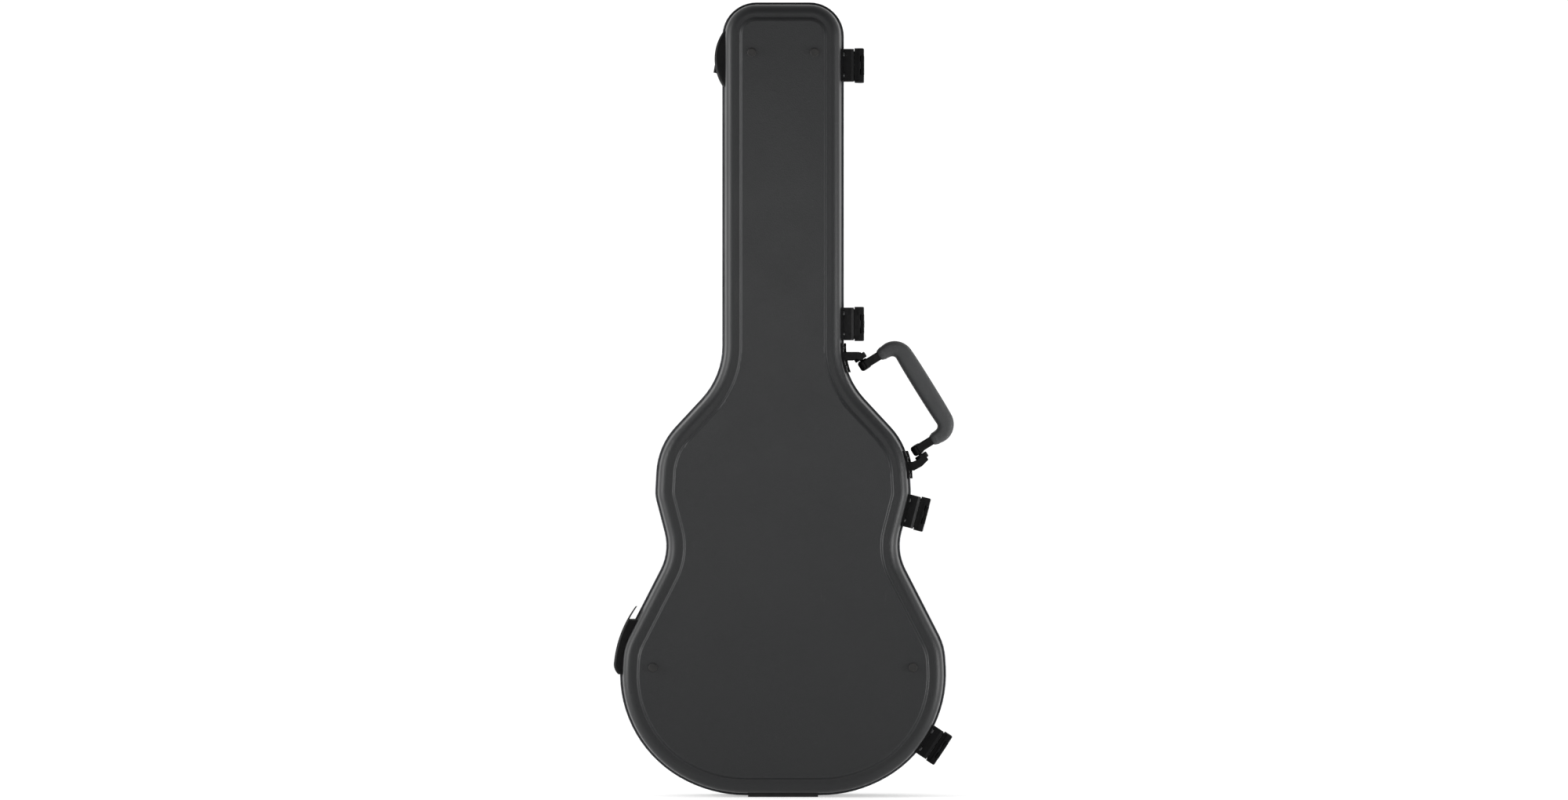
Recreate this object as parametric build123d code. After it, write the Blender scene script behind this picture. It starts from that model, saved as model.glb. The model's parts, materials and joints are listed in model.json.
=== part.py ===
from build123d import *
import math
import os

# Hardshell guitar case, standing upright on its tail.
# Frame: millimetres. x runs across the case, y through its depth (lid on +y, bottom shell on -y),
# z runs up along the neck. The origin is on the floor, on the centreline, under the parting plane y = 0.

# ---------------------------------------------------------------- driving dimensions
# Outer edge of the rim: corners of the right half, tail first, as (x, z, corner radius).
OUTLINE = (
    (93.3, 0.0, 182.0),
    (230.8, 67.5, 165.0),
    (222.5, 205.6, 79.0),
    (156.2, 335.1, 72.0),
    (176.3, 412.9, 48.0),
    (172.7, 480.6, 98.0),
    (83.7, 576.3, 107.0),
    (83.7, 1091.0, 47.0),
)
BOTTOM = -1  # direction of the bottom shell's depth along y
LID = 1  # direction of the lid's depth along y

SKIN = 3.0  # wall thickness of both shells
DRAFT = 3.0  # degrees, side walls
SHOULDER = 12.0  # radius between side wall and band
BAND_DEPTH = {BOTTOM: 78.0, LID: 48.0}  # parting plane to the band around the raised panel
PANEL_RISE = 5.0  # raised panel above the band
PANEL_INSET = 24.0  # outline to the foot of the raised panel
PANEL_SLOPE = 3.5  # how far the step leans inward
PANEL_EDGE = 2.5  # radius along the panel's edge
PANEL_FOOT = 3.0  # radius at the foot of the step

RIM_WIDTH = 11.0
RIM_DEPTH = 9.0
RIM_PROUD = 2.5  # rim stands out beyond the shell wall
RIM_ROUND = 1.6
SHELL_LAP = 3.0  # parting plane to the edge of a shell, inside its rim
PARTING_GAP = 0.15  # each rim stops this far from the parting plane
TONGUE = (7.0, 8.8)  # outer and inner face of the bottom rim's tongue, from the outline
TONGUE_HEIGHT = 2.0
GROOVE = (6.3, 9.6)
GROOVE_DEPTH = 3.6
SEAL_THICKNESS = 1.2

FOAM_TOP = 11.5  # parting plane to the top of the foam
FIT = 0.3  # foam to shell
LINING = 2.0  # plush thickness
BODY_INSET = 24.0  # outline to the body cavity
BODY_TOP = 552.0
BODY_CORNER = 45.0
BODY_FLOOR = {BOTTOM: 68.0, LID: 41.0}
NECK_HALF = {BOTTOM: 33.0, LID: 56.0}
NECK_FLOOR = {BOTTOM: 44.0, LID: 41.0}
NECK_SPAN = (500.0, 960.0)
HEAD_HALF = 56.0
HEAD_SPAN = (900.0, 1062.0)
HEAD_FLOOR = {BOTTOM: 56.0, LID: 41.0}

BOX_SPAN = (640.0, 830.0)  # accessory box, along z
BOX_HALF = 41.0
BOX_WALL = 2.5
BOX_FLOOR = 76.0
BOX_TOP = 45.0
FLAP_PIN_X = -38.0
FLAP_PIN_Y = -42.6
FLAP_THICK = 4.0
FLAP_RIGHT = 39.5

HINGE_LOW = Vector(-227.5, 0, 195.0)  # the lid turns about the line through these two points
HINGE_HIGH = Vector(-84.7, 0, 1045.0)
BODY_HINGE_Z = 194.0
NECK_HINGE_Z = 1010.0
KNUCKLE_R = 2.8
HINGE_PIN_R = 1.3
COVER_SPAN = (8.6, 32.0)  # hinge covers, from the parting plane through the depth
COVER_ROUND = 5.0
RUNNING = 0.06  # radial clearance of a pin in a moving hole
CLEAR = 0.2  # fixed hardware to the case

LATCH_HEIGHTS = {"head": 1004.0, "neck": 648.5, "waist": 392.0, "tail": 76.4}
LATCH_PIVOT = (14.0, 17.0)  # outward and toward the lid, from the rim's outer edge at the parting plane
LATCH_PIN_R = 1.8
LEVER_HALF = 23.5
LEVER_FACE = 28.0
LEVER_ROUND = 1.6
TRIGGER_PIVOT = (25.0, -9.0)
TRIGGER_PIN_R = 1.2
TRIGGER_HALF = 12.5
LOCK_R = 5.0
LOCK_Y = 4.5

HANDLE_UPPER = Vector(111.0, 0, 594.1)  # the handle's two pivots
HANDLE_LOWER = Vector(185.5, 0, 474.1)
HANDLE_Y = -24.0
HANDLE_PIN_R = 2.5
EYE_R = 8.0
EYE_ROUND = 4.0
EYE_SPAN = (61.5, 76.0)  # along the pivot line, from its middle
BOSS_SPAN = (76.6, 84.5)
ARM_HALF = 9.0  # half thickness of arms and brackets, through the depth
GRIP_HALF = 14.0

BACK_FEET = ((43.0, 1019.0), (178.0, 178.0))  # right-hand pair, mirrored to the left
FOOT_R = 6.0
FOOT_HEIGHT = 4.0
PAD_HALF = 48.0
PAD_HEIGHT = 9.0
PAD_SPAN = {BOTTOM: (12.0, 60.0), LID: (12.0, 38.0)}


# ---------------------------------------------------------------- outline and walls
def outline_arcs(inset):
    """Start, middle and end of each rounded corner, with every side moved in by inset."""
    loop = [Vector(x, 0, z) for x, z, _ in OUTLINE] + [Vector(-x, 0, z) for x, z, _ in reversed(OUTLINE)]
    radii = [r for _, _, r in OUTLINE] + [r for _, _, r in reversed(OUTLINE)]
    arcs = []
    for i, point in enumerate(loop):
        along_in = (point - loop[i - 1]).normalized()
        along_out = (loop[(i + 1) % len(loop)] - point).normalized()
        inward_in = Vector(-along_in.Z, 0, along_in.X)
        inward_out = Vector(-along_out.Z, 0, along_out.X)
        convex = 1 if inward_in.dot(along_out) > 0 else -1
        corner = point + (inward_in + inward_out) * (inset / (1 + inward_in.dot(inward_out)))
        radius = radii[i] - convex * inset
        reach = radius * math.tan(math.acos(along_in.dot(along_out)) / 2)
        centre = corner - along_in * reach + inward_in * (radius * convex)
        middle = centre + (corner - centre).normalized() * radius
        arcs.append((corner - along_in * reach, middle, corner + along_out * reach))
    return arcs


def section(inset, y):
    """Face inside the outline, moved in by inset, at depth coordinate y."""
    arcs = outline_arcs(inset)
    lift = Vector(0, y, 0)
    edges = []
    for i, (start, middle, end) in enumerate(arcs):
        following = arcs[(i + 1) % len(arcs)][0]
        edges.append(Edge.make_three_point_arc(start + lift, middle + lift, end + lift))
        edges.append(Edge.make_line(end + lift, following + lift))
    return Face(Wire(edges))


def slab(inset_a, y_a, inset_b, y_b):
    """Solid between two insets of the outline at two depths."""
    return loft([section(inset_a, y_a), section(inset_b, y_b)], ruled=True)


def edges_at_depth(solid, y):
    return solid.edges().filter_by_position(Axis.Y, y - 0.01, y + 0.01)


def wall_inset(depth):
    """Outline to the outer face of a shell's side wall, at a depth."""
    return RIM_PROUD + depth * math.tan(math.radians(DRAFT))


def shell_form(side, start, skin):
    """Outer form of a shell (skin 0), or the form of what lies inside a wall of that thickness."""
    band = BAND_DEPTH[side] - skin
    panel = band + PANEL_RISE
    tub = slab(wall_inset(start) + skin, side * start, wall_inset(band) + skin, side * band)
    tub = fillet(edges_at_depth(tub, side * band), SHOULDER - skin)
    foot_inset = PANEL_INSET + skin
    step = slab(foot_inset, side * (band - 1), foot_inset + PANEL_SLOPE, side * panel)
    if skin:
        return tub + step
    step = fillet(edges_at_depth(step, side * panel), PANEL_EDGE)
    form = tub + step
    return fillet(new_edges(tub, step, combined=form), PANEL_FOOT)


def case_grown(side, grow):
    """One half of the closed case as a solid block, with its side faces moved out by grow."""
    rim = slab(-grow, 0, -grow, side * (RIM_DEPTH + grow))
    band = BAND_DEPTH[side]
    return rim + slab(wall_inset(0) - grow, 0, wall_inset(band) - grow, side * band)


def edge_place(z, side=1):
    """Frame on the rim's outer edge at height z: x outward, y as the case, z up along the edge."""
    rim = section(0, 0).outer_wire()
    ray = Edge.make_line((0, 0, z), (side * 400, 0, z))
    point = rim.intersect(ray).vertices()[0].center()
    along = rim.tangent_at(rim.param_at_point(point))
    if along.Z < 0:
        along = along * -1
    tilt = math.degrees(math.atan2(along.X, along.Z))
    return Location(point, (0, tilt, 0))


# ---------------------------------------------------------------- small shapes in a local frame
def turned(sign, near, far):
    """The pair (near, far) on the positive or the negative side, lower number first."""
    return tuple(sorted((sign * near, sign * far)))


def block(x, y, z):
    """Box from three (low, high) pairs."""
    size = [high - low for low, high in (x, y, z)]
    middle = [(high + low) / 2 for low, high in (x, y, z)]
    return Pos(*middle) * Box(*size)


def rod(x, y, radius, z_low, z_high):
    """Cylinder along z."""
    return Pos(x, y, (z_low + z_high) / 2) * Cylinder(radius, z_high - z_low)


def xy_prism(points, z_low, z_high, rounding=0.0):
    """Polygon in x and y, pulled along z, with its corners rounded."""
    face = Face(Wire.make_polygon([(x, y, z_low) for x, y in points]))
    solid = extrude(face, z_high - z_low, dir=(0, 0, 1))
    if rounding:
        solid = fillet(solid.edges().filter_by(Axis.Z), rounding)
    return solid


def xz_prism(points, y_low, y_high, rounding=0.0):
    """Polygon in x and z, pulled along y, with its corners rounded."""
    face = Face(Wire.make_polygon([(x, y_low, z) for x, z in points]))
    solid = extrude(face, y_high - y_low, dir=(0, 1, 0))
    if rounding:
        solid = fillet(solid.edges().filter_by(Axis.Y), rounding)
    return solid


def rivet(x, y, z, radius=2.8):
    """Round rivet head pointing along +x."""
    head = Pos(x, y, z) * Rot(0, 90, 0) * Cylinder(radius, 6.0)
    return fillet(head.edges().group_by(Axis.X)[-1], 1.0)


# ---------------------------------------------------------------- shells, rims and seal
def make_shells():
    parts = {}
    for side, name in ((BOTTOM, "bottom"), (LID, "lid")):
        outer = shell_form(side, SHELL_LAP, 0)
        inner = shell_form(side, SHELL_LAP - 1, SKIN)
        parts[f"{name}_shell"] = outer - inner
        rim = slab(0, side * PARTING_GAP, 0, side * RIM_DEPTH)
        rim = fillet(edges_at_depth(rim, side * RIM_DEPTH), RIM_ROUND)
        rim -= slab(RIM_WIDTH, 0, RIM_WIDTH, side * (RIM_DEPTH + 1))
        parts[f"{name}_rim"] = rim - parts[f"{name}_shell"]
    tongue = slab(TONGUE[0], -1, TONGUE[0], TONGUE_HEIGHT)
    tongue -= slab(TONGUE[1], -2, TONGUE[1], TONGUE_HEIGHT + 1)
    parts["bottom_rim"] += tongue
    groove = slab(GROOVE[0], 0, GROOVE[0], GROOVE_DEPTH) - slab(GROOVE[1], 0, GROOVE[1], GROOVE_DEPTH)
    parts["lid_rim"] -= groove
    seal_low = GROOVE_DEPTH - SEAL_THICKNESS
    seal = slab(GROOVE[0], seal_low, GROOVE[0], GROOVE_DEPTH)
    parts["rim_seal"] = seal - slab(GROOVE[1], seal_low - 1, GROOVE[1], GROOVE_DEPTH + 1)
    return parts


# ---------------------------------------------------------------- foam, lining and accessory box
def guitar_space(side, shrink, top):
    """The hollow for a guitar in one half, from depth top, with its walls moved in by shrink."""
    def depths(floor):
        return turned(side, top, floor - shrink)

    body_low, body_high = depths(BODY_FLOOR[side])
    body = slab(BODY_INSET + shrink, body_low, BODY_INSET + shrink, body_high)
    body -= block((-300, 300), (-100, 100), (BODY_TOP - shrink, 1200))
    corners = body.edges().filter_by(Axis.Y).filter_by_position(Axis.Z, BODY_TOP - shrink - 0.1, BODY_TOP)
    body = fillet(corners, BODY_CORNER)
    half = NECK_HALF[side] - shrink
    space = body + block((-half, half), depths(NECK_FLOOR[side]), NECK_SPAN)
    half = HEAD_HALF - shrink
    head = block((-half, half), depths(HEAD_FLOOR[side]), (HEAD_SPAN[0] + shrink, HEAD_SPAN[1] - shrink))
    space += fillet(head.edges().filter_by(Axis.Y), 10)
    if side == BOTTOM:
        half = BOX_HALF + LINING + 0.5 - shrink
        low, high = BOX_SPAN
        reach = LINING + 0.5 - shrink
        space += block((-half, half), depths(BOX_FLOOR + LINING), (low - reach, high + reach))
    return space


def make_padding():
    parts = {}
    for side, name in ((BOTTOM, "bottom"), (LID, "lid")):
        space = guitar_space(side, 0, FOAM_TOP - LINING)
        parts[f"{name}_foam"] = shell_form(side, FOAM_TOP, SKIN + FIT) - space
        edge = wall_inset(FOAM_TOP) + SKIN + FIT
        cover = slab(edge, side * (FOAM_TOP - LINING), edge, side * FOAM_TOP)
        parts[f"{name}_lining"] = cover + space - guitar_space(side, LINING, FOAM_TOP - LINING - 1)
    cradle = block((-30.6, 30.6), (-41.6, -15), (858, 892))
    cradle -= rod(0, -6, 25, 850, 900)
    parts["neck_cradle"] = fillet(cradle.edges().filter_by(Axis.Z).group_by(Axis.Y)[-1], 2)
    return parts


def make_accessory_box():
    low, high = BOX_SPAN
    box = block((-BOX_HALF, BOX_HALF), (-BOX_FLOOR + 0.3, -BOX_TOP), BOX_SPAN)
    box = fillet(box.edges().filter_by(Axis.Y), 3)
    inner_half = BOX_HALF - BOX_WALL
    inner = block(
        (-inner_half, inner_half),
        (-BOX_FLOOR + 0.3 + BOX_WALL, 0),
        (low + BOX_WALL, high - BOX_WALL),
    )
    box -= fillet(inner.edges().filter_by(Axis.Y), 2)
    lug_length = 8.0
    lug_spans = ((low + 2, low + 2 + lug_length), (high - 2 - lug_length, high - 2))
    for span in lug_spans:
        box += rod(FLAP_PIN_X, FLAP_PIN_Y, 2.4, *span)
        box += block((FLAP_PIN_X - 2, FLAP_PIN_X + 2), (-BOX_TOP - 4, FLAP_PIN_Y), span)
    pin = rod(FLAP_PIN_X, FLAP_PIN_Y, 1.2, low + 2, high - 2)
    box -= pin
    barrel_span = (lug_spans[0][1] + 0.5, lug_spans[1][0] - 0.5)
    flap_low = FLAP_PIN_Y - FLAP_THICK / 2
    flap = block((FLAP_PIN_X + 3.0, FLAP_RIGHT), (flap_low, flap_low + FLAP_THICK), (low + 2, high - 2))
    flap = fillet(flap.edges().filter_by(Axis.Y).group_by(Axis.X)[-1], 6)
    flap += block((FLAP_PIN_X, FLAP_PIN_X + 4), (flap_low + 0.2, flap_low + FLAP_THICK), barrel_span)
    flap += rod(FLAP_PIN_X, FLAP_PIN_Y, 2.2, *barrel_span)
    flap -= rod(FLAP_PIN_X, FLAP_PIN_Y, 1.2 + RUNNING, low, high)
    middle = (low + high) / 2
    tab_low = flap_low + FLAP_THICK
    tab = block((20, 38), (tab_low, tab_low + 1.0), (middle - 9, middle + 9))
    tab += block((36, 38), (tab_low, tab_low + 12), (middle - 9, middle + 9))
    return {
        "accessory_box": box,
        "accessory_flap": flap,
        "flap_hinge_pin": pin,
        "flap_pull_tab": tab,
    }


# ---------------------------------------------------------------- lid hinges
def hinge_place(z):
    """Frame on the lid's hinge line at height z, with its z axis along the line."""
    along = (HINGE_HIGH - HINGE_LOW).normalized()
    point = HINGE_LOW + along * ((z - HINGE_LOW.Z) / along.Z)
    return Location(point, (0, math.degrees(math.atan2(along.X, along.Z)), 0))


def make_hinge(name, z, half_length, cover_form):
    """Two leaves with knuckles and their covers; the pin is returned apart."""
    parts = {}
    place = hinge_place(z)
    third = half_length / 3
    end_knuckles = ((-half_length, -third), (third, half_length))
    for side, half_name in ((BOTTOM, "bottom"), (LID, "lid")):
        own = end_knuckles if side == BOTTOM else ((-third + 0.4, third - 0.4),)
        others = ((-third, third),) if side == BOTTOM else end_knuckles
        arm = block((0.4, 22), turned(side, 0.4, 8), (-half_length, half_length))
        for span in others:
            arm -= rod(0, 0, KNUCKLE_R + 0.4, span[0] - 0.4, span[1] + 0.4)
        plate_half = half_length + 8
        plate_zone = block((-12, 30), turned(side, 0.4, 30), (-plate_half, plate_half))
        plate = (place * plate_zone) & case_grown(side, CLEAR + 2)
        leaf = place * arm + plate - case_grown(side, CLEAR)
        for span in own:
            leaf += place * rod(0, 0, KNUCKLE_R, *span)
        bore = HINGE_PIN_R if side == BOTTOM else HINGE_PIN_R + RUNNING
        leaf -= place * rod(0, 0, bore, -half_length - 1, half_length + 1)
        for span in others:
            leaf -= place * rod(0, 0, KNUCKLE_R + 0.4, span[0] - 0.3, span[1] + 0.3)
        parts[f"{name}_hinge_{half_name}_leaf"] = leaf
        cover = cover_form(side) - case_grown(side, CLEAR) - leaf
        parts[f"{name}_hinge_{half_name}_cover"] = keep_largest(cover)
    return parts, place * rod(0, 0, HINGE_PIN_R, -half_length, half_length)


def keep_largest(shape):
    return shape.solids().sort_by(SortBy.VOLUME)[-1]


def neck_cover_form(side):
    """Shallow dome beside the neck."""
    near, far = side * COVER_SPAN[0], side * COVER_SPAN[1]
    low, high = 974.5, 1050.5
    arc = Edge.make_three_point_arc((-82, near, low), (-94.2, near, (low + high) / 2), (-82, near, high))
    back = [(-82, near, high), (-74, near, high), (-74, near, low), (-82, near, low)]
    back = Wire.make_polygon(back, close=False)
    dome = extrude(Face(Wire([arc, *back.edges()])), abs(far - near), dir=(0, side, 0))
    return fillet(edges_at_depth(dome, far).filter_by(GeomType.CIRCLE), COVER_ROUND)


def body_cover_form(side):
    """Crescent beside the lower bout that thins to a fin with a slot under it."""
    near, far = side * COVER_SPAN[0], side * COVER_SPAN[1]
    tip, belly, heel, foot = (-203.5, 259.5), (-226.0, 215.0), (-232.4, 184.0), (-226.5, 167.0)

    def contour(y, shift_x, shift_z):
        def at(point):
            return (point[0] + shift_x, y, point[1] + shift_z)

        bow = Edge.make_three_point_arc(at(tip), at(belly), at(heel))
        low = Edge.make_three_point_arc(at(heel), at((-231.0, 173.0)), at(foot))
        back = Wire.make_polygon([at(foot), at((-185, foot[1])), at((-185, tip[1])), at(tip)], close=False)
        return Face(Wire([bow, low, *back.edges()]))

    depth = abs(far - near)
    crescent = extrude(contour(near, 0, 0), depth, dir=(0, side, 0))
    outer = edges_at_depth(crescent, far).filter_by(GeomType.CIRCLE)
    crescent = fillet(outer, COVER_ROUND)
    fin, slot_low = 3.4, 242.0
    slot = extrude(contour(near - side, fin, 1.5), depth + 2, dir=(0, side, 0))
    slot &= block((-240, -150), turned(side, COVER_SPAN[0] - 2, COVER_SPAN[1] + 2), (slot_low, 270))
    return crescent - slot


# ---------------------------------------------------------------- latches
def on_wall(place, zone, side, thickness):
    """Plate of a thickness that lies on the case inside a zone given in a local frame."""
    return (place * zone) & case_grown(side, CLEAR + thickness)


def make_latch(name, z, locked):
    """One draw latch: strike on the bottom, mount, pin, lever, trigger on the lid."""
    place = edge_place(z)
    pivot_x, pivot_y = LATCH_PIVOT
    parts = {}

    strike = on_wall(place, block((-14, 8), (-36, -1), (-22, 22)), BOTTOM, 3)
    lip = xy_prism([(-8, -24), (10, -24), (13.8, -21), (13.8, -13), (8, -10.5), (-8, -10.5)], -22.5, 22.5)
    lip = fillet(lip.edges().filter_by(Axis.Z), 1)
    lip_ends = lip.edges().group_by(Axis.Z)[0] + lip.edges().group_by(Axis.Z)[-1]
    lip = fillet(lip_ends.filter_by_position(Axis.X, 0, 20), 0.8)
    strike = strike + place * lip - case_grown(BOTTOM, CLEAR)
    strike -= place * block((-14, 8), (-9.6, 0), (-23, 23))
    parts[f"{name}_latch_strike"] = keep_largest(strike)

    mount = on_wall(place, block((-14, 8), (1, 36), (-20.5, 20.5)), LID, 3)
    ear_points = [(-8, 10.8), (pivot_x, pivot_y - 5.5), (pivot_x, pivot_y + 5.5), (-8, 30)]
    for low, high in ((-20.5, -16.9), (16.9, 20.5)):
        ear = xy_prism(ear_points, low, high) + rod(pivot_x, pivot_y, 5.5, low, high)
        mount += place * ear
    mount = mount - case_grown(LID, CLEAR) - place * block((-14, 8), (0, 9.6), (-23, 23))
    pin = place * rod(pivot_x, pivot_y, LATCH_PIN_R, -20.5, 20.5)
    parts[f"{name}_latch_mount"] = keep_largest(mount - pin)

    core = xy_prism([(pivot_x, 11.8), (20, 3), (24, 3), (24, 17), (21, 21), (pivot_x, 22.2)], -16.4, 16.4)
    core += rod(pivot_x, pivot_y, 5.2, -16.4, 16.4)
    face_points = [(20.3, -21), (LEVER_FACE - 1, -21), (LEVER_FACE, -10)]
    face_points += [(LEVER_FACE, 10), (26.4, 15.5), (20.3, 15.5)]
    face = xy_prism(face_points, -LEVER_HALF, LEVER_HALF)
    ends = face.edges().group_by(Axis.Z)[0] + face.edges().group_by(Axis.Z)[-1]
    face = fillet(ends.filter_by_position(Axis.X, 24, LEVER_FACE), LEVER_ROUND)
    lever = core + face
    cheek_points = [(14.5, -20), (22, -21), (22, 15.5), (16, 9)]
    for low, high in ((-LEVER_HALF, -21.1), (21.1, LEVER_HALF)):
        lever += xy_prism(cheek_points, low, high)
    lever += block((14.3, 21), (-17, -12), (-21.2, 21.2))
    lever -= block((22.2, 30), (-22, -5.8), (-13, 13))
    lever -= rod(pivot_x, pivot_y, LATCH_PIN_R + RUNNING, -18, 18)
    trigger_pin = rod(*TRIGGER_PIVOT, TRIGGER_PIN_R, -16, 16)
    lever -= trigger_pin
    if locked:
        lock_x = (23.0, LEVER_FACE + 0.6)
        barrel = Rot(0, 90, 0) * Cylinder(LOCK_R, lock_x[1] - lock_x[0])
        barrel = Pos((lock_x[0] + lock_x[1]) / 2, LOCK_Y, 0) * barrel
        hole = Rot(0, 90, 0) * Cylinder(LOCK_R + RUNNING, 8.0)
        lever -= Pos(lock_x[0] - 0.2 + 4.0, LOCK_Y, 0) * hole
        slot = block((27.2, 30), (LOCK_Y - 3, LOCK_Y + 3), (-0.6, 0.6))
        parts["lock_cylinder"] = place * (barrel - slot)
    parts[f"{name}_latch_lever"] = place * lever

    tx, ty = TRIGGER_PIVOT
    trigger = xy_prism([(23.4, -21.5), (27.4, -22.5), (28.2, -12), (28, -6.6), (tx, ty + 2.4), (23.4, -11)],
                       -TRIGGER_HALF, TRIGGER_HALF)
    trigger = fillet(trigger.edges().filter_by(Axis.Z).group_by(Axis.X)[-1], 1.0)
    trigger += rod(tx, ty, 2.4, -TRIGGER_HALF, TRIGGER_HALF)
    trigger -= rod(tx, ty, TRIGGER_PIN_R + RUNNING, -14, 14)
    parts[f"{name}_latch_trigger"] = place * trigger
    parts[f"{name}_trigger_pin"] = place * trigger_pin
    spring = block((22.2, 22.6), (-20, -12), (-5, 5))
    parts[f"{name}_trigger_spring"] = place * spring

    strike_rivets = [place * rivet(-2, -31, z_rivet) for z_rivet in (-14, 14)]
    mount_rivets = [place * rivet(-2, 32.5, z_rivet) for z_rivet in (-12, 12)]
    bottom_rivets = [r - parts[f"{name}_latch_strike"] - case_grown(BOTTOM, CLEAR) for r in strike_rivets]
    lid_rivets = [r - parts[f"{name}_latch_mount"] - case_grown(LID, CLEAR) for r in mount_rivets]
    return parts, pin, bottom_rivets, lid_rivets


# ---------------------------------------------------------------- handle
def handle_place():
    """Frame in the middle of the handle's pivot line: x outward, z up along the line."""
    along = (HANDLE_UPPER - HANDLE_LOWER).normalized()
    middle = (HANDLE_UPPER + HANDLE_LOWER) * 0.5 + Vector(0, HANDLE_Y, 0)
    return Location(middle, (0, math.degrees(math.atan2(along.X, along.Z)), 0))


def make_handle():
    place = handle_place()
    arm_outer = [(0, 74.5), (45, 74.5), (54.5, 66), (58, 54)]
    arm_inner = [(0, 62.5), (40, 62.5), (47, 59), (50, 50)]
    core_points = arm_outer + [(x, -z) for x, z in reversed(arm_outer)]
    core_points += [(x, -z) for x, z in arm_inner] + list(reversed(arm_inner))
    core = xz_prism(core_points, -ARM_HALF, ARM_HALF)
    core = fillet(core.edges().filter_by(Axis.Y).filter_by_position(Axis.X, 30, 70), 2.5)
    core = fillet(core.edges().group_by(Axis.Y)[0] + core.edges().group_by(Axis.Y)[-1], 2.0)
    grip_half = [(28, 76.2), (50, 76.2), (60, 68), (66.5, 50)]
    grip_inner = [(28, 61.5), (37, 59.5), (41.2, 50)]
    grip_points = grip_half + [(x, -z) for x, z in reversed(grip_half)]
    grip_points += [(x, -z) for x, z in grip_inner] + list(reversed(grip_inner))
    grip = xz_prism(grip_points, -GRIP_HALF, GRIP_HALF, 4.0)
    pins = []
    for end in (-1, 1):
        eye = rod(0, 0, EYE_R, *turned(end, *EYE_SPAN))
        core += fillet(eye.edges().filter_by(GeomType.CIRCLE), EYE_ROUND)
        core -= rod(0, 0, HANDLE_PIN_R + RUNNING, -90, 90)
        pin_span = turned(end, EYE_SPAN[0] + 1, BOSS_SPAN[1])
        head_span = turned(end, BOSS_SPAN[1], BOSS_SPAN[1] + 2.2)
        pins.append(place * (rod(0, 0, HANDLE_PIN_R, *pin_span) + rod(0, 0, 4.5, *head_span)))
    grip -= core
    parts = {"handle_core": place * core, "handle_grip": place * grip}

    arms = {
        "upper": [(76, 610), (104, 610), (113.5, 606.5), (109.5, 598), (101, 600), (96, 598), (76, 598)],
        "lower": [(158, 447), (180, 447), (191, 453), (200, 462)]
        + [(193.5, 471), (184, 461.5), (178, 459), (158, 459)],
    }
    zones = {
        "upper": block((70, 95), (-16, 16), (582, 622)),
        "lower": block((140, 190), (-16, 16), (436, 474)),
    }
    rivets = []
    rivet_heights = {"upper": (590, 616), "lower": (441, 465)}
    for end, name in ((1, "upper"), (-1, "lower")):
        shift = Pos(0, HANDLE_Y, 0)
        arm = xz_prism(arms[name], -ARM_HALF, ARM_HALF, 1.5)
        arm = fillet(arm.edges().group_by(Axis.Y)[0] + arm.edges().group_by(Axis.Y)[-1], 1.2)
        boss = rod(0, 0, ARM_HALF, *turned(end, *BOSS_SPAN))
        bracket = shift * arm + place * fillet(boss.edges().filter_by(GeomType.CIRCLE), 1.5)
        bracket += (shift * zones[name]) & case_grown(BOTTOM, CLEAR + 3)
        bracket -= case_grown(BOTTOM, CLEAR)
        bracket -= block((60, 220), (-9.6, 0), (400, 640))
        bracket = bracket - place * rod(0, 0, HANDLE_PIN_R, -90, 90) - pins[0] - pins[1]
        bracket -= place * rod(0, 0, EYE_R + 1, *turned(end, EYE_SPAN[0] - 2, EYE_SPAN[1] + 0.5))
        bracket = keep_largest(bracket)
        parts[f"handle_bracket_{name}"] = bracket
        for z in rivet_heights[name]:
            spot = edge_place(z)
            heads = [spot * rivet(-2.5, HANDLE_Y + y, 0) for y in (-11, 11)]
            rivets += [head - bracket - case_grown(BOTTOM, CLEAR) for head in heads]
    return parts, pins, rivets


# ---------------------------------------------------------------- feet and tail pads
def make_feet():
    panel = BAND_DEPTH[BOTTOM] + PANEL_RISE
    feet = []
    for x, z in BACK_FEET:
        for mirror in (-1, 1):
            middle = Pos(mirror * x, -panel - FOOT_HEIGHT / 2, z)
            foot = middle * Rot(90, 0, 0) * Cylinder(FOOT_R, FOOT_HEIGHT)
            feet.append(fillet(foot.edges().group_by(Axis.Y)[0], 1.5))
    parts = {"back_feet": feet}
    for side, name in ((BOTTOM, "bottom"), (LID, "lid")):
        pad = block((-PAD_HALF, PAD_HALF), turned(side, *PAD_SPAN[side]), (0, PAD_HEIGHT))
        parts[f"tail_pad_{name}"] = keep_largest(pad - case_grown(side, 0))
    return parts


# ---------------------------------------------------------------- assembly
def solids_of(shape):
    if isinstance(shape, (list, tuple)):
        return [solid for item in shape for solid in item.solids()]
    return shape.solids()


def make_case():
    parts = {}
    parts.update(make_shells())
    parts.update(make_padding())
    parts.update(make_accessory_box())
    parts.update(make_feet())

    hinge_pins = []
    for name, z, half, form in (
        ("neck", NECK_HINGE_Z, 16.0, neck_cover_form),
        ("body", BODY_HINGE_Z, 11.0, body_cover_form),
    ):
        hinge, pin = make_hinge(name, z, half, form)
        parts.update(hinge)
        hinge_pins.append(pin)
    parts["hinge_pins"] = hinge_pins

    latch_pins, bottom_rivets, lid_rivets = [], [], []
    for name, z in LATCH_HEIGHTS.items():
        latch, pin, on_bottom, on_lid = make_latch(name, z, locked=name == "neck")
        parts.update(latch)
        latch_pins.append(pin)
        bottom_rivets += on_bottom
        lid_rivets += on_lid
    parts["latch_pins"] = latch_pins

    handle, handle_pins, handle_rivets = make_handle()
    parts.update(handle)
    parts["handle_pins"] = handle_pins
    parts["bottom_rivets"] = bottom_rivets + handle_rivets
    parts["lid_rivets"] = lid_rivets
    return parts


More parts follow.
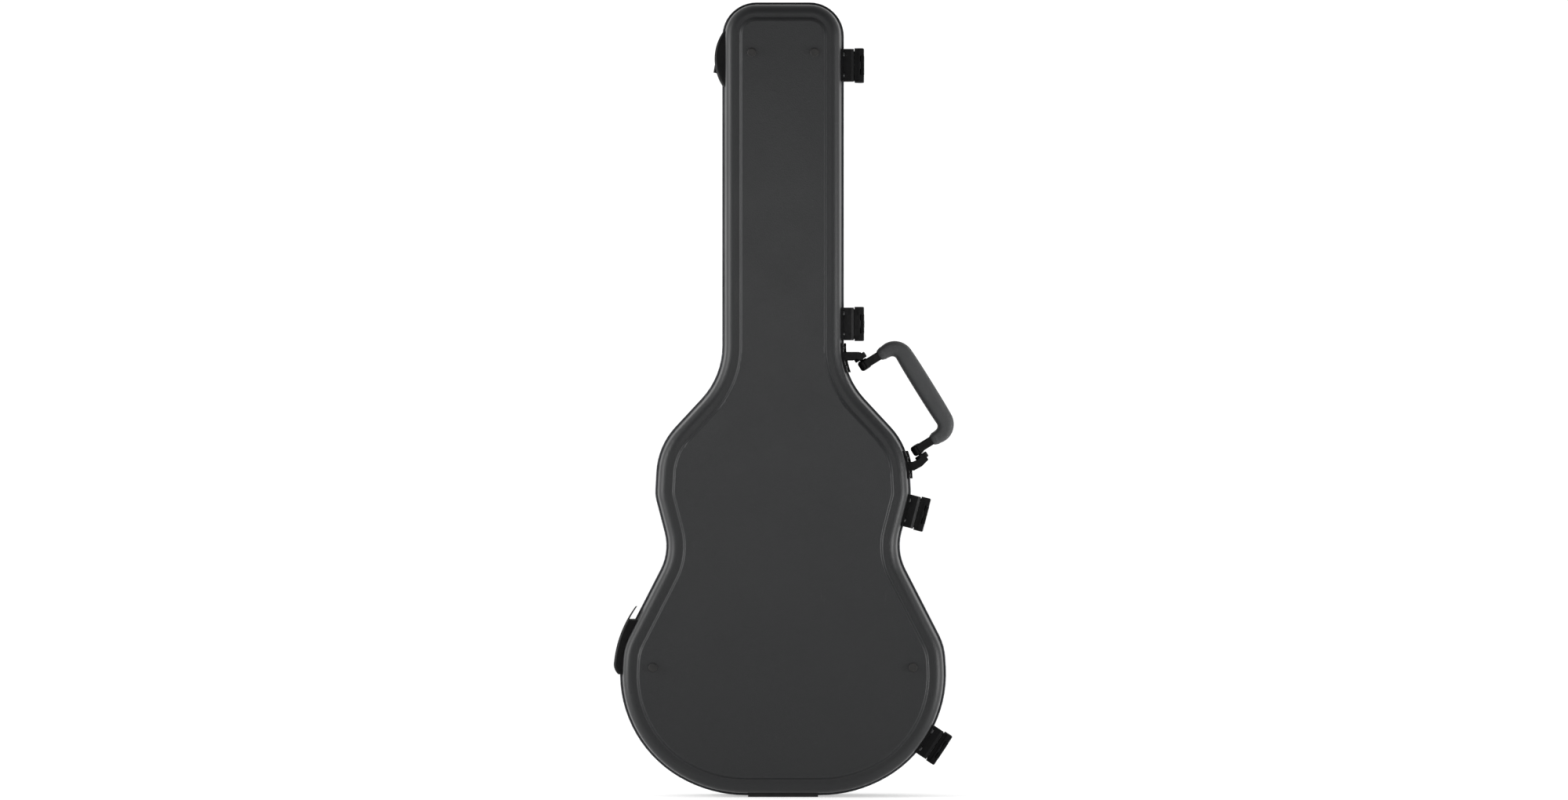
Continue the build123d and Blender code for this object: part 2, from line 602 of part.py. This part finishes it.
os.makedirs("parts", exist_ok=True)
for node, shape in make_case().items():
    solids = solids_of(shape)
    export_step(solids[0] if len(solids) == 1 else Compound(children=solids), f"parts/{node}.step")
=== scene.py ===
import json
import math

import bmesh
import bpy
import numpy as np
from mathutils import Matrix, Vector, noise


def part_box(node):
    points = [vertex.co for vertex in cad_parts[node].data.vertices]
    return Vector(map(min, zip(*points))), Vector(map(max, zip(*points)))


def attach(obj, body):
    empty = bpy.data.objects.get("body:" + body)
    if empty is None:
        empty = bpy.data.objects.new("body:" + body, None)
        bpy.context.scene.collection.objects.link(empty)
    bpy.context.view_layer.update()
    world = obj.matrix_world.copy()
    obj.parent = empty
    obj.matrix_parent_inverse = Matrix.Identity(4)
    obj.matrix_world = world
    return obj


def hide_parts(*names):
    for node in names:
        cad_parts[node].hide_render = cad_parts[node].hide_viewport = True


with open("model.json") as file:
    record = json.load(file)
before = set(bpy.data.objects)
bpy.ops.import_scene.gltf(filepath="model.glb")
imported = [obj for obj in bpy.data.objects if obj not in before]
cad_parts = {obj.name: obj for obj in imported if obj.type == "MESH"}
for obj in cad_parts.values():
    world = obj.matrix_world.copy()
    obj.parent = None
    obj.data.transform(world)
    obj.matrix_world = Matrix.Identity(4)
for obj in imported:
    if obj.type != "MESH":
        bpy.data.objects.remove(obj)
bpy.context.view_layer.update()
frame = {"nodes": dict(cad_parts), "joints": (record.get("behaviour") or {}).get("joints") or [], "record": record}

# Looks of the hardshell guitar case: procedural materials on the CAD nodes, a moulded rubber grip, a plush,
# padded interior and a folded pull ribbon. Metres, in the CAD frame: +X handle side, +Y lid, +Z neck end.

MM = 0.001
scene = bpy.context.scene
NODES = frame["nodes"]
JOINTS = {joint["name"]: joint for joint in frame["joints"]}
SLOT_OF = {part["node"]: part["material_slot"] for part in frame["record"]["subparts"]}


# ---------------------------------------------------------------- node-tree helper
class Tree:
    """A material's node tree with a Principled shader, and short calls for what the materials share.

    Texture scales are per metre, bump distances in metres, and colours linear."""

    def __init__(self, name, **settings):
        self.material = bpy.data.materials.new(name)
        self.material.use_nodes = True
        self.nodes = self.material.node_tree.nodes
        self.links = self.material.node_tree.links
        self.shader = self.nodes["Principled BSDF"]
        for key, value in settings.items():
            self.shader.inputs[key.replace("_", " ")].default_value = value

    def node(self, kind, settings=None, **inputs):
        made = self.nodes.new(kind)
        for key, value in (settings or {}).items():
            setattr(made, key, value)
        for key, value in inputs.items():
            self.feed(made.inputs[key.replace("_", " ")], value)
        return made

    def feed(self, socket, value):
        if isinstance(value, bpy.types.NodeSocket):
            self.links.new(value, socket)
        else:
            socket.default_value = value

    def place(self, stretch=(1, 1, 1)):
        """Position on the object in metres, stretched."""
        coordinates = self.node("ShaderNodeTexCoord")
        mapping = self.node("ShaderNodeMapping", Vector=coordinates.outputs["Object"], Scale=stretch)
        return mapping.outputs[0]

    def noise(self, scale, detail=3.0, roughness=0.55, stretch=(1, 1, 1)):
        made = self.node("ShaderNodeTexNoise", Vector=self.place(stretch), Scale=scale, Detail=detail)
        made.inputs["Roughness"].default_value = roughness
        return made.outputs[0]

    def cells(self, scale, feature):
        made = self.node("ShaderNodeTexVoronoi", {"feature": feature}, Vector=self.place(), Scale=scale)
        return made.outputs["Distance"]

    def remap(self, value, low, high, to_low=0.0, to_high=1.0):
        made = self.node("ShaderNodeMapRange", Value=value)
        for key, number in (("From Min", low), ("From Max", high), ("To Min", to_low), ("To Max", to_high)):
            made.inputs[key].default_value = number
        return made.outputs[0]

    def math(self, operation, a, b):
        made = self.node("ShaderNodeMath", {"operation": operation})
        self.feed(made.inputs[0], a)
        self.feed(made.inputs[1], b)
        return made.outputs[0]

    def mix(self, factor, colour_a, colour_b):
        made = self.node("ShaderNodeMix", {"data_type": "RGBA"})
        self.feed(made.inputs["Factor"], factor)
        self.feed(made.inputs[6], (*colour_a, 1) if isinstance(colour_a, tuple) else colour_a)
        self.feed(made.inputs[7], (*colour_b, 1) if isinstance(colour_b, tuple) else colour_b)
        return made.outputs[2]

    def bump(self, height, distance, strength, normal=None):
        made = self.node("ShaderNodeBump", Height=height, Distance=distance, Strength=strength)
        if normal is not None:
            self.links.new(normal, made.inputs["Normal"])
        return made.outputs[0]

    def to_shader(self, **sockets):
        for key, value in sockets.items():
            self.feed(self.shader.inputs[key.replace("_", " ")], value)
        return self.material


# ---------------------------------------------------------------- materials
def moulded_abs():
    """Vacuum-formed ABS sheet: satin, with a fine pebble grain and faint handling marks."""
    tree = Tree("moulded_abs", Specular_IOR_Level=0.3)
    pebble = tree.cells(620.0, "SMOOTH_F1")
    fine = tree.noise(1500.0, 2.0)
    broad = tree.noise(3.0, 4.0)
    scuffs = tree.remap(tree.noise(55.0, 6.0, 0.7, stretch=(1, 1, 0.15)), 0.66, 0.8)
    tone = tree.remap(broad, 0.3, 0.7)
    base = tree.mix(tone, (0.0098, 0.0103, 0.0111), (0.0122, 0.0127, 0.0133))
    base = tree.mix(tree.math("MULTIPLY", scuffs, 0.35), base, (0.05, 0.05, 0.05))
    grain = tree.bump(pebble, 0.00022, 0.55)
    normal = tree.bump(fine, 0.00005, 0.5, grain)
    rough = tree.remap(tree.noise(9.0, 5.0), 0.3, 0.7, 0.44, 0.52)
    rough = tree.math("ADD", rough, tree.math("MULTIPLY", scuffs, 0.12))
    return tree.to_shader(Base_Color=base, Roughness=rough, Normal=normal)


def anodised_rim():
    """Extruded aluminium, black anodised, with fine drawing lines along the parting line."""
    tree = Tree("anodised_rim", Metallic=1.0)
    lines = tree.noise(260.0, 4.0, 0.6, stretch=(0.6, 14, 0.6))
    patches = tree.noise(12.0, 4.0)
    base = tree.mix(tree.remap(patches, 0.35, 0.7), (0.030, 0.031, 0.033), (0.046, 0.047, 0.05))
    rough = tree.remap(lines, 0.3, 0.7, 0.34, 0.5)
    return tree.to_shader(Base_Color=base, Roughness=rough, Normal=tree.bump(lines, 0.00004, 0.5))


def black_nylon():
    """Glass-filled nylon of the latches, hinges and brackets: black, with a fine spark-eroded grain."""
    tree = Tree("black_nylon", Specular_IOR_Level=0.1)
    grain = tree.noise(2200.0, 3.0)
    patches = tree.noise(60.0, 4.0)
    base = tree.mix(tree.remap(patches, 0.35, 0.7), (0.0020, 0.0020, 0.0022), (0.0036, 0.0036, 0.0040))
    rough = tree.remap(tree.noise(140.0, 4.0), 0.3, 0.7, 0.36, 0.5)
    return tree.to_shader(Base_Color=base, Roughness=rough, Normal=tree.bump(grain, 0.00006, 0.5))


def grip_rubber():
    """Soft moulded rubber of the grip: matt dark grey with a fine leather-like grain."""
    tree = Tree("grip_rubber", Specular_IOR_Level=0.35)
    creases = tree.cells(760.0, "DISTANCE_TO_EDGE")
    fine = tree.noise(1800.0, 2.0)
    wear = tree.noise(26.0, 4.0)
    base = tree.mix(tree.remap(wear, 0.3, 0.7), (0.030, 0.031, 0.032), (0.041, 0.042, 0.043))
    rough = tree.remap(wear, 0.3, 0.7, 0.55, 0.7)
    grain = tree.bump(tree.remap(creases, 0.0, 0.25), 0.00018, 0.6)
    return tree.to_shader(Base_Color=base, Roughness=rough, Normal=tree.bump(fine, 0.00005, 0.4, grain))


def solid_rubber():
    """Black rubber of the feet, tail pads and the seal in the rim."""
    tree = Tree("solid_rubber", Specular_IOR_Level=0.3)
    dust = tree.noise(70.0, 5.0)
    base = tree.mix(tree.remap(dust, 0.4, 0.75), (0.010, 0.010, 0.010), (0.022, 0.021, 0.020))
    rough = tree.remap(dust, 0.3, 0.7, 0.62, 0.8)
    grain = tree.bump(tree.noise(1600.0), 0.00008, 0.5)
    return tree.to_shader(Base_Color=base, Roughness=rough, Normal=grain)


def plush():
    """Short-pile plush: fibres lie in patches that catch the light differently, painted into the colour as lighter
    and darker sheen.
    """
    tree = Tree("plush", Specular_IOR_Level=0.1, Sheen_Weight=0.7, Sheen_Roughness=0.45)
    fibre = tree.noise(1500.0, 4.0, 0.7)
    tufts = tree.cells(480.0, "SMOOTH_F1")
    nap_and_sheen = tree.noise(22.0, 5.0, 0.6, stretch=(1.0, 1.0, 0.55))
    # painted sheen: the nap patches make the base colour lighter and darker, standing in for how the pile catches
    # the light
    base = tree.mix(tree.remap(nap_and_sheen, 0.32, 0.68), (0.030, 0.031, 0.034), (0.060, 0.061, 0.066))
    base = tree.mix(tree.remap(fibre, 0.35, 0.7, 0.0, 0.5), base, (0.082, 0.083, 0.088))
    soft = tree.bump(tufts, 0.0009, 0.55)
    normal = tree.bump(fibre, 0.0007, 0.75, soft)
    rough = tree.remap(nap_and_sheen, 0.3, 0.7, 0.86, 0.97)
    return tree.to_shader(Base_Color=base, Roughness=rough, Normal=normal)


def webbing():
    """Woven ribbon: a plain weave of black yarn."""
    tree = Tree("webbing", Specular_IOR_Level=0.2, Sheen_Weight=0.3)
    place = tree.place()
    across = tree.node("ShaderNodeTexWave", {"bands_direction": "X"}, Vector=place, Scale=190.0)
    along = tree.node("ShaderNodeTexWave", {"bands_direction": "Z"}, Vector=place, Scale=190.0)
    weave = tree.math("MULTIPLY", across.outputs[1], along.outputs[1])
    base = tree.mix(weave, (0.010, 0.010, 0.011), (0.034, 0.034, 0.036))
    rough = tree.remap(weave, 0.0, 1.0, 0.9, 0.7)
    return tree.to_shader(Base_Color=base, Roughness=rough, Normal=tree.bump(weave, 0.0003, 0.7))


def steel(name, tone, roughness):
    """Plated steel with fine turning marks."""
    tree = Tree(name, Metallic=1.0)
    marks = tree.noise(900.0, 3.0, 0.6, stretch=(1, 1, 0.2))
    patches = tree.noise(90.0, 3.0)
    dark, bright = (tone, tone, tone * 1.02), (tone * 1.4, tone * 1.4, tone * 1.43)
    base = tree.mix(tree.remap(patches, 0.3, 0.7), dark, bright)
    rough = tree.remap(marks, 0.3, 0.7, roughness - 0.06, roughness + 0.08)
    return tree.to_shader(Base_Color=base, Roughness=rough, Normal=tree.bump(marks, 0.00003, 0.5))


MATERIALS = {
    "shell": moulded_abs(),
    "rim": anodised_rim(),
    "seal": solid_rubber(),
    "pad_rubber": solid_rubber(),
    "plush": plush(),
    "foam": plush(),
    "box_board": plush(),
    "ribbon": webbing(),
    "grip": grip_rubber(),
    "steel": steel("black_zinc_steel", 0.05, 0.38),
    "chrome_lock": steel("plated_lock", 0.32, 0.3),
    "handle_black": black_nylon(),
    "hardware_black": black_nylon(),
}


# ---------------------------------------------------------------- mesh helpers
ALL_SMOOTH = 180.0  # degrees


def new_piece(name, vertices, faces, material, sharp_from):
    """Smooth-shaded object with a material, its edges sharp from an angle in degrees."""
    mesh = bpy.data.meshes.new(name)
    mesh.from_pydata([tuple(v) for v in vertices], [], [tuple(f) for f in faces])
    mesh.validate()
    mesh.shade_smooth()
    if sharp_from < ALL_SMOOTH:
        mesh.set_sharp_from_angle(angle=math.radians(sharp_from))
    mesh.materials.append(material)
    piece = bpy.data.objects.new(name, mesh)
    scene.collection.objects.link(piece)
    return piece


def vectors_of(piece, key):
    """Places ("co") or normals ("normal") of a piece's points, one row each."""
    vectors = np.empty(len(piece.data.vertices) * 3)
    piece.data.vertices.foreach_get(key, vectors)
    return vectors.reshape(-1, 3)


def put_points(piece, points):
    piece.data.vertices.foreach_set("co", points.ravel())
    piece.data.update()


def apply_modifiers(piece):
    """Put the result of a piece's modifiers into its mesh."""
    evaluated = piece.evaluated_get(bpy.context.evaluated_depsgraph_get())
    mesh = bpy.data.meshes.new_from_object(evaluated)
    old = piece.data
    piece.modifiers.clear()
    piece.data = mesh
    bpy.data.meshes.remove(old)


def stand_for(piece, body, *nodes):
    """The piece rides on a body and replaces CAD nodes."""
    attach(piece, body)
    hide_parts(*nodes)
    return piece


def dress_cad_nodes():
    """Each CAD node gets the material of its slot."""
    for name, node in NODES.items():
        node.data.materials.clear()
        node.data.materials.append(MATERIALS[SLOT_OF[name]])


def joint_frame(joint_name):
    """Frame on a hinge: x outward, y through the depth, z along its axis."""
    joint = JOINTS[joint_name]
    along = Vector(joint["axis"]).normalized()
    across = Vector((along.z, 0, -along.x))
    deep = along.cross(across)
    turn = Matrix((across, deep, along)).transposed().to_4x4()
    return Matrix.Translation(Vector(joint["pos_m"])) @ turn


# ---------------------------------------------------------------- handle grip, in millimetres
GRIP_OUT = 53.4  # the grip's middle line, outward from the pivots
GRIP_ARM = 68.7  # and along the pivot line at the arms
GRIP_CORNER = 17.0
GRIP_END = 23.0  # where it starts on each arm, outward
GRIP_LIP = 3.0  # its ends round off over this length
GRIP_LIP_DROP = 0.16  # share of the section gone at the very end
GRIP_THICK, GRIP_THICK_SWELL = 6.8, 5.6  # half thickness at the ends, and what the middle adds
GRIP_DEPTH, GRIP_DEPTH_SWELL = 10.6, 3.3  # the same for the half depth
SWELL_POWER, THICK_POWER = 3, 0.8  # how flat the swelling is in the middle, and how full in thickness
COLLAR_RISE, COLLAR_PLACE, COLLAR_SPREAD = 0.45, 6.0, 1.6  # ridge near each end
SEAM_RISE, SEAM_SPREAD = 0.35, 0.7  # mould seam on the inner and outer side
GRIP_RINGS, GRIP_AROUND, GRIP_POWER = 180, 64, 3.2  # rings, points in each, and its superellipse power
GRIP_SHARP = 50.0  # degrees
GRIP_STRAIGHT = GRIP_ARM - GRIP_CORNER
GRIP_ARC = GRIP_CORNER * math.pi / 2
GRIP_HALF_LENGTH = GRIP_STRAIGHT + GRIP_ARC + GRIP_OUT - GRIP_CORNER - GRIP_END


def superellipse(count, half_a, half_b, power):
    """Closed section, half_a along the first axis and half_b along the second."""
    points = []
    for i in range(count):
        angle = 2 * math.pi * i / count
        c, s = math.cos(angle), math.sin(angle)
        points.append((
            half_a * math.copysign(abs(c) ** (2 / power), c),
            half_b * math.copysign(abs(s) ** (2 / power), s),
        ))
    return points


def grip_path(t):
    """Middle line of the grip from one arm to the other for t from -1 to 1, in millimetres.

    Returns how far out and how far along it is, the turn of its normal, and the share of the half length."""
    s = abs(t) * GRIP_HALF_LENGTH
    if s < GRIP_STRAIGHT:
        out, along, turn = GRIP_OUT, s, 0.0
    elif s < GRIP_STRAIGHT + GRIP_ARC:
        turn = (s - GRIP_STRAIGHT) / GRIP_CORNER
        out = GRIP_OUT - GRIP_CORNER * (1 - math.cos(turn))
        along = GRIP_STRAIGHT + GRIP_CORNER * math.sin(turn)
    else:
        turn = math.pi / 2
        out, along = GRIP_OUT - GRIP_CORNER - (s - GRIP_STRAIGHT - GRIP_ARC), GRIP_ARM
    return out, math.copysign(along, t), math.copysign(turn, t), s / GRIP_HALF_LENGTH


def grip_section(part):
    """Half thickness in the handle's plane and half depth across it, at a share of the half length."""
    from_end = (1 - part) * GRIP_HALF_LENGTH
    swell = 1 - part**SWELL_POWER
    lip = 1 - GRIP_LIP_DROP * (1 - min(1.0, from_end / GRIP_LIP)) ** 2
    collar = COLLAR_RISE * math.exp(-(((from_end - COLLAR_PLACE) / COLLAR_SPREAD) ** 2))
    half_thick = GRIP_THICK + GRIP_THICK_SWELL * swell**THICK_POWER + collar
    half_depth = GRIP_DEPTH + GRIP_DEPTH_SWELL * swell + collar
    return half_thick * lip, half_depth * lip


def make_grip():
    """Rubber grip moulded over the handle core, swelling towards the middle, with a collar at each end."""
    rings, around = GRIP_RINGS, GRIP_AROUND
    vertices, faces = [], []
    for i in range(rings + 1):
        out, along, turn, part = grip_path(-1 + 2 * i / rings)
        half_thick, half_depth = grip_section(part)
        for a, b in superellipse(around, half_thick, half_depth, GRIP_POWER):
            seam = SEAM_RISE * math.exp(-((b / SEAM_SPREAD) ** 2))
            a += math.copysign(seam, a)
            vertices.append(Vector((out + a * math.cos(turn), b, along + a * math.sin(turn))) * MM)
    for i in range(rings):
        for k in range(around):
            here, after = i * around + k, i * around + (k + 1) % around
            faces.append((here, after, after + around, here + around))
    faces.append(tuple(range(around)))
    faces.append(tuple(reversed(range(rings * around, (rings + 1) * around))))
    place = joint_frame("handle_swing")
    vertices = [place @ v for v in vertices]
    piece = new_piece("handle_grip_moulded", vertices, faces, MATERIALS["grip"], GRIP_SHARP)
    stand_for(piece, "handle", "handle_grip")


# ---------------------------------------------------------------- padded interior, in metres
WELD = 2e-6  # CAD points closer than this are one
BED_VOXEL, BED_VOXEL_QUICK = 0.0028, 0.008
CRADLE_VOXEL = 0.0024
FLAP_VOXEL = 0.0012
SMOOTH_PASSES, SMOOTH_FACTOR = 3, 0.5
BED_RIPPLE = 0.0006, 28.0  # height, and how many to the metre
FLAP_RIPPLE = 0.00025, 60.0
RIPPLE_NOISE = 0.8, 2.0, 3  # fractal dimension, step between layers, number of layers
CRADLE_PRESSURE, CRADLE_SWELL = 3.0, 0.0012  # pressure under the cloth, and the furthest a point may move
CLOTH_QUALITY, CLOTH_FRAMES = 5, 12


def ripple(piece, amount, scale):
    """Small uneven swellings, as cloth over foam has."""
    places, normals = vectors_of(piece, "co"), vectors_of(piece, "normal")
    lifts = [noise.fractal(Vector(p) * scale, *RIPPLE_NOISE) for p in places]
    put_points(piece, places + normals * (np.array(lifts)[:, None] * amount))


def soft_solid(name, nodes, voxel):
    """One soft-edged solid from CAD nodes, by voxel remesh and smoothing."""
    bm = bmesh.new()
    for node in nodes:
        bm.from_mesh(NODES[node].data)
    bmesh.ops.remove_doubles(bm, verts=bm.verts, dist=WELD)
    bm.verts.index_update()
    vertices = [v.co.copy() for v in bm.verts]
    faces = [[v.index for v in face.verts] for face in bm.faces]
    bm.free()
    piece = new_piece(name, vertices, faces, MATERIALS["plush"], ALL_SMOOTH)
    remesh = piece.modifiers.new("voxels", "REMESH")
    remesh.mode = "VOXEL"
    remesh.voxel_size = voxel
    remesh.use_smooth_shade = True
    smooth = piece.modifiers.new("ease", "SMOOTH")
    smooth.iterations = SMOOTH_PASSES
    smooth.factor = SMOOTH_FACTOR
    apply_modifiers(piece)
    piece.data.materials.clear()
    piece.data.materials.append(MATERIALS["plush"])
    piece.data.shade_smooth()
    return piece


def make_beds():
    """In each half, foam and lining as one plush bed."""
    voxel = BED_VOXEL
    for half, body in (("bottom", "base"), ("lid", "lid")):
        nodes = (f"{half}_lining", f"{half}_foam")
        bed = soft_solid(f"{half}_plush_bed", nodes, voxel)
        ripple(bed, *BED_RIPPLE)
        stand_for(bed, body, *nodes)


def make_flap():
    """Plush cover of the accessory box."""
    flap = soft_solid("flap_plush_cover", ("accessory_flap",), FLAP_VOXEL)
    ripple(flap, *FLAP_RIPPLE)
    stand_for(flap, "flap", "accessory_flap")


def make_cradle():
    """Foam block under plush, given to a cloth simulation."""
    cradle = soft_solid("neck_cradle_plush", ("neck_cradle",), CRADLE_VOXEL)
    inflate(cradle, CRADLE_PRESSURE, CRADLE_SWELL)
    stand_for(cradle, "base", "neck_cradle")


def inflate(piece, pressure, cap):
    """Cloth simulation with inner pressure; no point moves further than cap."""
    before = vectors_of(piece, "co")
    cloth = piece.modifiers.new("cloth", "CLOTH")
    cloth.settings.use_pressure = True
    cloth.settings.uniform_pressure_force = pressure
    cloth.settings.effector_weights.gravity = 0.0
    cloth.settings.quality = CLOTH_QUALITY
    cloth.point_cache.frame_start, cloth.point_cache.frame_end = 1, CLOTH_FRAMES
    for number in range(1, CLOTH_FRAMES + 1):
        scene.frame_set(number)
    apply_modifiers(piece)
    scene.frame_set(1)
    moved = vectors_of(piece, "co") - before
    length = np.linalg.norm(moved, axis=1, keepdims=True)
    put_points(piece, before + moved * np.minimum(1.0, cap / np.maximum(length, 1e-9)))
    piece.data.shade_smooth()


RIBBON_THICK = 0.0009
RIBBON_LIFT = 0.0002  # of its middle line over the CAD tab's under side
RIBBON_SHARP = 40.0  # degrees


def make_pull_tab():
    """Ribbon sewn to the flap, folded back into a loop to pull on."""
    low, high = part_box("flap_pull_tab")
    middle, half_width = (low.z + high.z) / 2, (high.z - low.z) / 2
    top = low.y + RIBBON_LIFT
    # Its fold seen from the side: out over the flap, up round the end, and back to the seam.
    line = [(low.x, top), (low.x + 0.009, top), (high.x - 0.005, top + 0.0008), (high.x - 0.001, top + 0.004),
            (high.x, top + 0.008), (high.x - 0.0022, top + 0.0112), (high.x - 0.006, top + 0.0102),
            (high.x - 0.0075, top + 0.006), (high.x - 0.0085, top + 0.0026), (low.x + 0.006, top + 0.0012)]
    curve = bpy.data.curves.new("tab_line", "CURVE")
    curve.dimensions = "3D"
    spline = curve.splines.new("NURBS")
    spline.points.add(len(line) - 1)
    for point, (x, y) in zip(spline.points, line):
        point.co = (x, y, middle, 1)
    spline.order_u = 3
    spline.use_endpoint_u = True
    curve.resolution_u = 6
    carrier = bpy.data.objects.new("tab_line", curve)
    scene.collection.objects.link(carrier)
    run = [v.co.copy() for v in bpy.data.meshes.new_from_object(carrier).vertices]
    bpy.data.objects.remove(carrier)
    vertices, faces = [], []
    for i, point in enumerate(run):
        ahead = (run[min(i + 1, len(run) - 1)] - run[max(i - 1, 0)]).normalized()
        side = Vector((-ahead.y, ahead.x, 0)) * (RIBBON_THICK / 2)
        for across, lift in ((-1, -1), (1, -1), (1, 1), (-1, 1)):
            vertices.append(point + Vector((0, 0, across * half_width)) + side * lift)
    for i in range(len(run) - 1):
        for k in range(4):
            here, after = i * 4 + k, i * 4 + (k + 1) % 4
            faces.append((here, after, after + 4, here + 4))
    faces += [(3, 2, 1, 0), tuple(len(run) * 4 - 4 + k for k in range(4))]
    tab = new_piece("flap_pull_ribbon", vertices, faces, MATERIALS["ribbon"], RIBBON_SHARP)
    stand_for(tab, "flap", "flap_pull_tab")


# ---------------------------------------------------------------- stage, light, camera
FLOOR_REACH = 60.0
FLOOR_WHITE, FLOOR_GLOW = 0.8, 0.45  # the floor's own colour, and the light it gives
WORLD_SPAN = -0.9, 0.5  # the world brightens between these parts of +Y
WORLD_STRENGTH = 0.10, 1.12  # from the camera's side to the far side
SOFT_BOXES = (  # name, place, aim, width and height in metres, power in watts
    ("left_strip", (-2.6, -0.5, 0.75), (0, 0, 0.55), 0.7, 1.9, 72),
    ("right_strip", (2.2, -0.8, 0.16), (0.2, 0, 0.2), 0.6, 0.5, 44),
    ("front_fill", (-0.1, -1.5, 0.68), (0, 0, 0.6), 0.5, 0.5, 4.0),
)
CAMERA_DISTANCE = 12.0
CAMERA_CENTRE = 0.0013, 0.5439  # across and up, where the photo's middle lies
PHOTO_WIDTH = 2.160  # metres across the photo, at 1.08 mm a pixel
SENSOR_WIDTH = 36.0  # millimetres
SIGHT = 200.0  # how far the camera sees


def white_floor():
    """Pale stage surface that gives a little light of its own, so that it stays white."""
    tree = Tree("pale_floor", Roughness=1.0, Specular_IOR_Level=0.0)
    tree.shader.inputs["Base Color"].default_value = (FLOOR_WHITE, FLOOR_WHITE, FLOOR_WHITE, 1)
    tree.shader.inputs["Emission Color"].default_value = (1, 1, 1, 1)
    tree.shader.inputs["Emission Strength"].default_value = FLOOR_GLOW
    return tree.material


def soft_box(name, place, aim, width, height, power):
    light = bpy.data.lights.new(name, "AREA")
    light.shape = "RECTANGLE"
    light.size, light.size_y = width, height
    light.energy = power
    lamp = bpy.data.objects.new(name, light)
    scene.collection.objects.link(lamp)
    lamp.location = place
    lamp.rotation_euler = (Vector(aim) - Vector(place)).to_track_quat("-Z", "Y").to_euler()


def make_floor():
    mesh = bpy.data.meshes.new("floor")
    reach = FLOOR_REACH
    corners = [(-reach, -reach, 0), (reach, -reach, 0), (reach, reach, 0), (-reach, reach, 0)]
    mesh.from_pydata(corners, [], [(0, 1, 2, 3)])
    floor = bpy.data.objects.new("floor", mesh)
    scene.collection.objects.link(floor)
    mesh.materials.append(white_floor())


def make_world():
    """Light from behind the case, with a backdrop that stays white from all sides."""
    world = bpy.data.worlds.new("studio")
    scene.world = world
    world.use_nodes = True
    nodes, links = world.node_tree.nodes, world.node_tree.links
    background = nodes["Background"]
    direction = nodes.new("ShaderNodeTexCoord")
    split = nodes.new("ShaderNodeSeparateXYZ")
    ramp = nodes.new("ShaderNodeMapRange")
    links.new(direction.outputs["Generated"], split.inputs[0])
    links.new(split.outputs["Y"], ramp.inputs["Value"])
    ramp.inputs["From Min"].default_value, ramp.inputs["From Max"].default_value = WORLD_SPAN
    ramp.inputs["To Min"].default_value, ramp.inputs["To Max"].default_value = WORLD_STRENGTH
    seen = nodes.new("ShaderNodeLightPath")
    strength = nodes.new("ShaderNodeMath")
    strength.operation = "MAXIMUM"
    links.new(ramp.outputs[0], strength.inputs[0])
    links.new(seen.outputs["Is Camera Ray"], strength.inputs[1])
    links.new(strength.outputs[0], background.inputs["Strength"])
    background.inputs["Color"].default_value = (1, 1, 1, 1)


def make_camera():
    """Long lens straight from the back of the case, framed as the photo is."""
    data = bpy.data.cameras.new("camera")
    data.sensor_width = SENSOR_WIDTH
    data.lens = data.sensor_width * CAMERA_DISTANCE / PHOTO_WIDTH
    data.clip_end = SIGHT
    camera = bpy.data.objects.new("camera", data)
    scene.collection.objects.link(camera)
    camera.location = (CAMERA_CENTRE[0], -CAMERA_DISTANCE, CAMERA_CENTRE[1])
    camera.rotation_euler = (math.radians(90), 0, 0)
    scene.camera = camera
    scene.view_settings.view_transform = "Standard"


make_camera()
make_floor()
make_world()
for soft_box_values in SOFT_BOXES:
    soft_box(*soft_box_values)
dress_cad_nodes()
make_grip()
make_beds()
make_cradle()
make_flap()
make_pull_tab()
